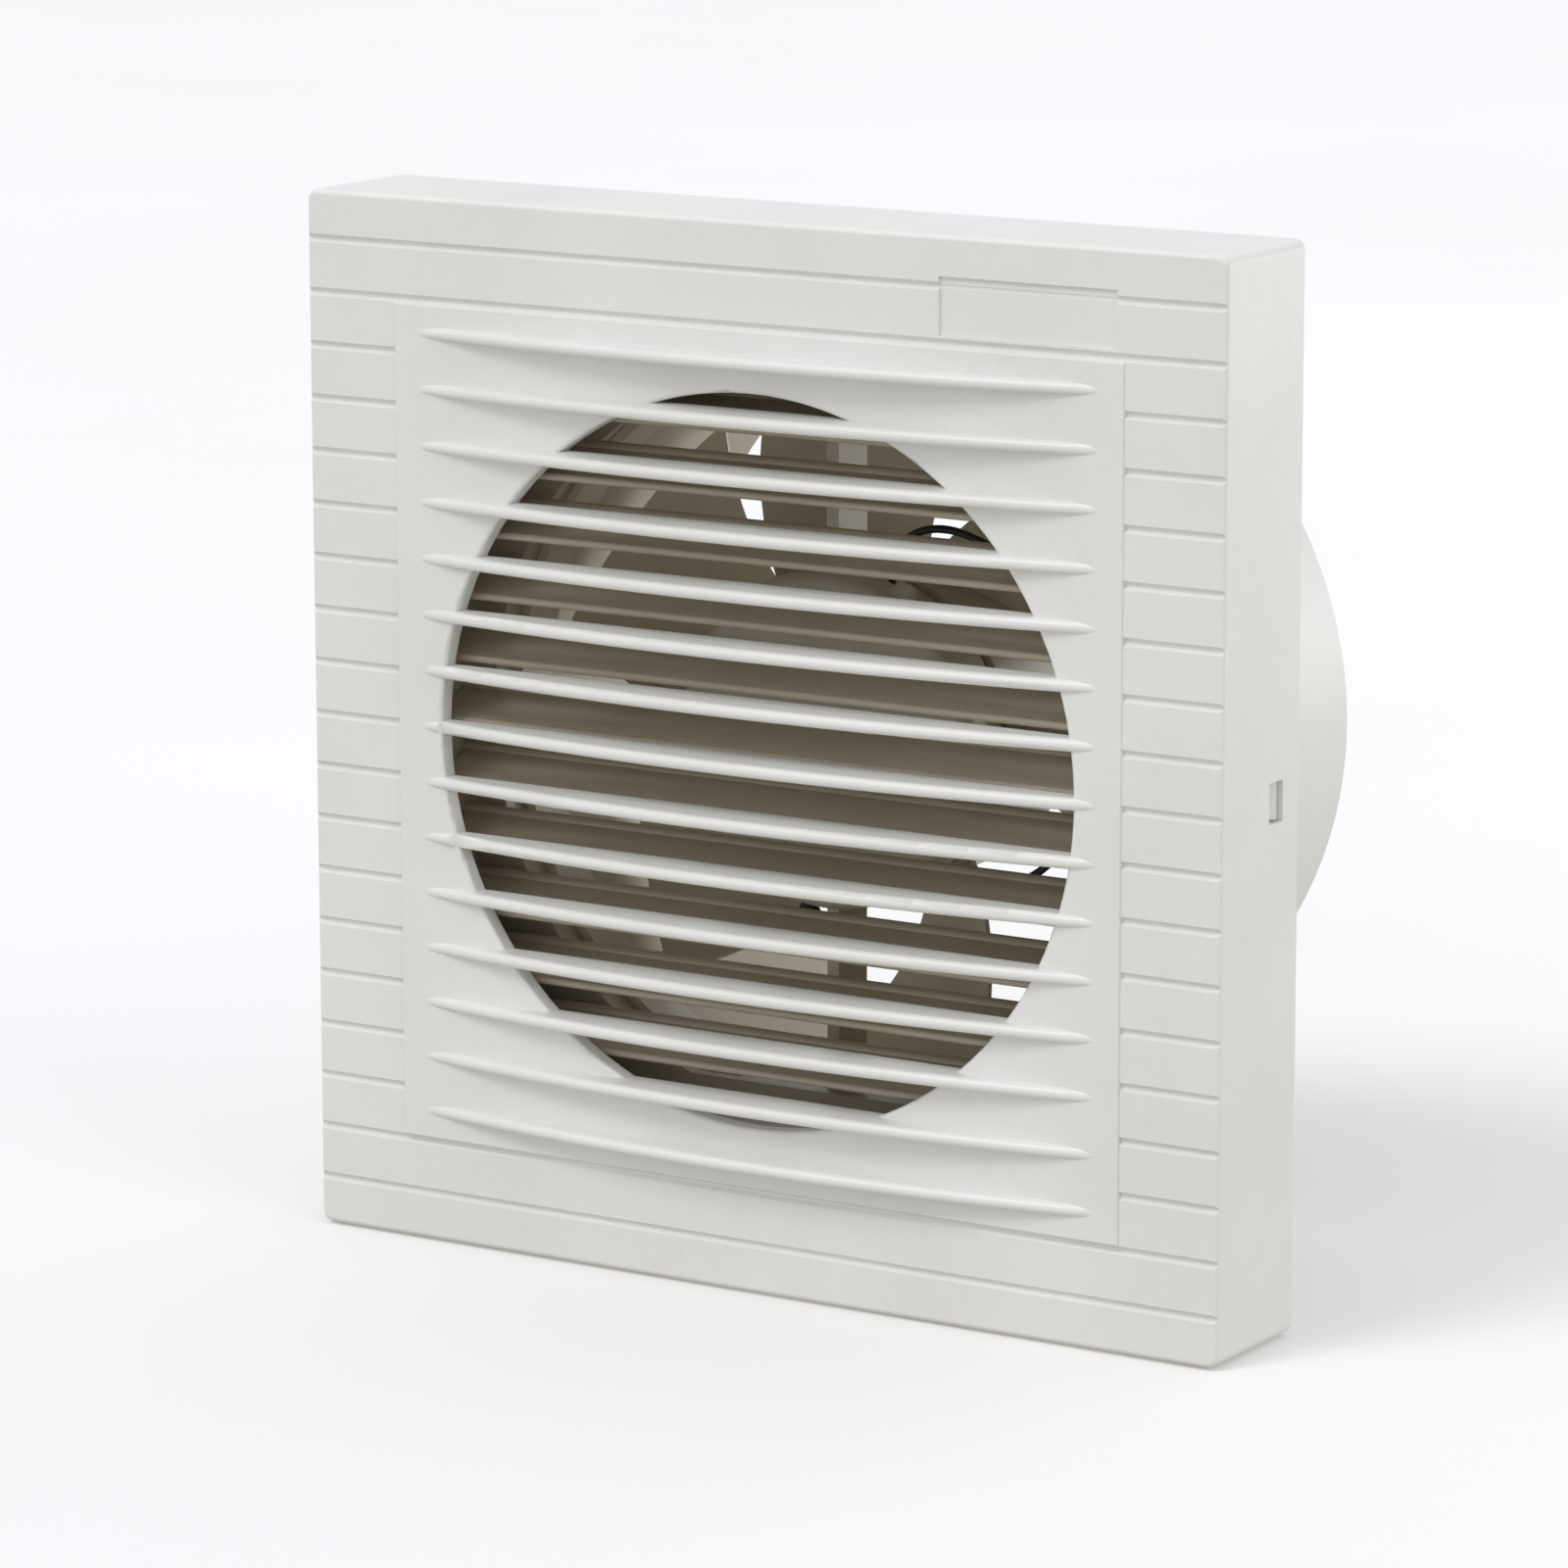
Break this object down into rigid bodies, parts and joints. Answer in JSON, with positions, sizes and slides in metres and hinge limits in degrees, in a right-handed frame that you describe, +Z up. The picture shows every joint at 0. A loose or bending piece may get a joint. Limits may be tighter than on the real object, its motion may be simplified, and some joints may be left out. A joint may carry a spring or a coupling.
{
  "type": "extractor fan",
  "caption": "Wall-mounted axial bathroom extractor fan with a finned square grille, an automatic louvre shutter behind it and a round duct spigot at the back.",
  "frame": {"origin": "on the duct axis, in the wall plane that the back of the casing stands against", "axes": "+Y into the wall along the duct axis, -Y into the room, +Z up, +X to the right seen from the room"},
  "size_m": [0.156, 0.0788, 0.1586],
  "materials": {
    "cover_abs": "satin moulded white ABS",
    "housing_abs": "satin moulded white ABS",
    "bracket_abs": "satin moulded white ABS",
    "frame_abs": "satin moulded white ABS",
    "slat_abs": "satin moulded white ABS",
    "cap_abs": "satin moulded white ABS",
    "impeller_abs": "satin moulded white ABS",
    "linkage_acetal": "natural acetal",
    "actuator_nylon": "black glass-filled nylon",
    "plunger_brass": "turned brass",
    "spring_steel": "drawn spring steel",
    "zinc_steel": "bright zinc plated steel",
    "lamination_steel": "stacked electrical steel",
    "copper_winding": "enamelled copper wire",
    "copper_ring": "bare copper",
    "stamped_steel": "stamped steel sheet",
    "sintered_bronze": "oil-filled sintered bronze",
    "rotor_aluminium": "die-cast end rings on steel",
    "shaft_steel": "ground steel",
    "washer_nylon": "natural nylon",
    "nut_brass": "turned brass",
    "terminal_nylon": "white nylon",
    "terminal_brass": "plated brass",
    "grommet_rubber": "black moulded rubber",
    "lead_pvc": "black PVC insulation"
  },
  "bodies": {
    "housing": {"front_cover": "cover_abs", "rear_housing": "housing_abs", "motor_bracket": "bracket_abs", "shutter_frame": "frame_abs", "actuator_body": "actuator_nylon", "return_spring": "spring_steel", "shutter_screws": "zinc_steel", "motor_cap": "cap_abs", "stator_core": "lamination_steel", "stator_coils": "copper_winding", "shading_rings": "copper_ring", "front_end_shield": "stamped_steel", "rear_end_shield": "stamped_steel", "front_bush": "sintered_bronze", "rear_bush": "sintered_bronze", "bolt_spacers": "zinc_steel", "motor_bolts": "zinc_steel", "terminal_block": "terminal_nylon", "terminal_screws": "terminal_brass", "block_screw": "zinc_steel", "cable_grommet": "grommet_rubber", "motor_leads": "lead_pvc", "actuator_leads": "lead_pvc"},
    "rotor": {"rotor_core": "rotor_aluminium", "motor_shaft": "shaft_steel", "thrust_washers": "washer_nylon", "impeller": "impeller_abs", "impeller_nut": "nut_brass"},
    "shutter_slat_01": {"shutter_slat_01": "slat_abs"},
    "shutter_slat_02": {"shutter_slat_02": "slat_abs"},
    "shutter_slat_03": {"shutter_slat_03": "slat_abs"},
    "shutter_slat_04": {"shutter_slat_04": "slat_abs"},
    "shutter_slat_05": {"shutter_slat_05": "slat_abs"},
    "shutter_slat_06": {"shutter_slat_06": "slat_abs"},
    "shutter_slat_07": {"shutter_slat_07": "slat_abs"},
    "shutter_slat_08": {"shutter_slat_08": "slat_abs", "crank_lever": "linkage_acetal"},
    "shutter_slat_09": {"shutter_slat_09": "slat_abs"},
    "shutter_slat_10": {"shutter_slat_10": "slat_abs"},
    "shutter_slat_11": {"shutter_slat_11": "slat_abs"},
    "link": {"tie_bar": "linkage_acetal"},
    "plunger": {"actuator_plunger": "plunger_brass"}
  },
  "joints": [
    {"name": "impeller_spin", "type": "hinge", "parent": "housing", "child": "rotor", "pos_m": [0, 0.02, 0], "axis": [0, 1, 0], "continuous": true},
    {"name": "slat_01_tilt", "type": "hinge", "parent": "housing", "child": "shutter_slat_01", "pos_m": [0, -0.0092, 0.05155], "axis": [1, 0, 0], "range_deg": [0, 55]},
    {"name": "slat_02_tilt", "type": "hinge", "parent": "housing", "child": "shutter_slat_02", "pos_m": [0, -0.0092, 0.042], "axis": [1, 0, 0], "range_deg": [0, 55]},
    {"name": "slat_03_tilt", "type": "hinge", "parent": "housing", "child": "shutter_slat_03", "pos_m": [0, -0.0092, 0.03245], "axis": [1, 0, 0], "range_deg": [0, 55]},
    {"name": "slat_04_tilt", "type": "hinge", "parent": "housing", "child": "shutter_slat_04", "pos_m": [0, -0.0092, 0.0229], "axis": [1, 0, 0], "range_deg": [0, 55]},
    {"name": "slat_05_tilt", "type": "hinge", "parent": "housing", "child": "shutter_slat_05", "pos_m": [0, -0.0092, 0.01335], "axis": [1, 0, 0], "range_deg": [0, 55]},
    {"name": "slat_06_tilt", "type": "hinge", "parent": "housing", "child": "shutter_slat_06", "pos_m": [0, -0.0092, 0.0038], "axis": [1, 0, 0], "range_deg": [0, 55]},
    {"name": "slat_07_tilt", "type": "hinge", "parent": "housing", "child": "shutter_slat_07", "pos_m": [0, -0.0092, -0.00575], "axis": [1, 0, 0], "range_deg": [0, 55]},
    {"name": "slat_08_tilt", "type": "hinge", "parent": "housing", "child": "shutter_slat_08", "pos_m": [0, -0.0092, -0.0153], "axis": [1, 0, 0], "range_deg": [0, 55]},
    {"name": "slat_09_tilt", "type": "hinge", "parent": "housing", "child": "shutter_slat_09", "pos_m": [0, -0.0092, -0.02485], "axis": [1, 0, 0], "range_deg": [0, 55]},
    {"name": "slat_10_tilt", "type": "hinge", "parent": "housing", "child": "shutter_slat_10", "pos_m": [0, -0.0092, -0.0344], "axis": [1, 0, 0], "range_deg": [0, 55]},
    {"name": "slat_11_tilt", "type": "hinge", "parent": "housing", "child": "shutter_slat_11", "pos_m": [0, -0.0092, -0.04395], "axis": [1, 0, 0], "range_deg": [0, 55]},
    {"name": "tie_bar_pivot", "type": "hinge", "parent": "shutter_slat_08", "child": "link", "pos_m": [0.0575, -0.01353, -0.0128], "axis": [1, 0, 0], "range_deg": [-55, 0]},
    {"name": "plunger_slide", "type": "slide", "parent": "housing", "child": "plunger", "axis": [0, 0, 1], "range_m": [-0.00555, 0], "deforming": ["return_spring"]}
  ],
  "couplings": [
    {"joint": "slat_01_tilt", "follows": "slat_08_tilt", "ratio": 1},
    {"joint": "slat_02_tilt", "follows": "slat_08_tilt", "ratio": 1},
    {"joint": "slat_03_tilt", "follows": "slat_08_tilt", "ratio": 1},
    {"joint": "slat_04_tilt", "follows": "slat_08_tilt", "ratio": 1},
    {"joint": "slat_05_tilt", "follows": "slat_08_tilt", "ratio": 1},
    {"joint": "slat_06_tilt", "follows": "slat_08_tilt", "ratio": 1},
    {"joint": "slat_07_tilt", "follows": "slat_08_tilt", "ratio": 1},
    {"joint": "slat_09_tilt", "follows": "slat_08_tilt", "ratio": 1},
    {"joint": "slat_10_tilt", "follows": "slat_08_tilt", "ratio": 1},
    {"joint": "slat_11_tilt", "follows": "slat_08_tilt", "ratio": 1},
    {"joint": "tie_bar_pivot", "follows": "slat_08_tilt", "ratio": -1},
    {"joint": "plunger_slide", "follows": "slat_08_tilt", "m_per_rad": -0.0057723}
  ]
}
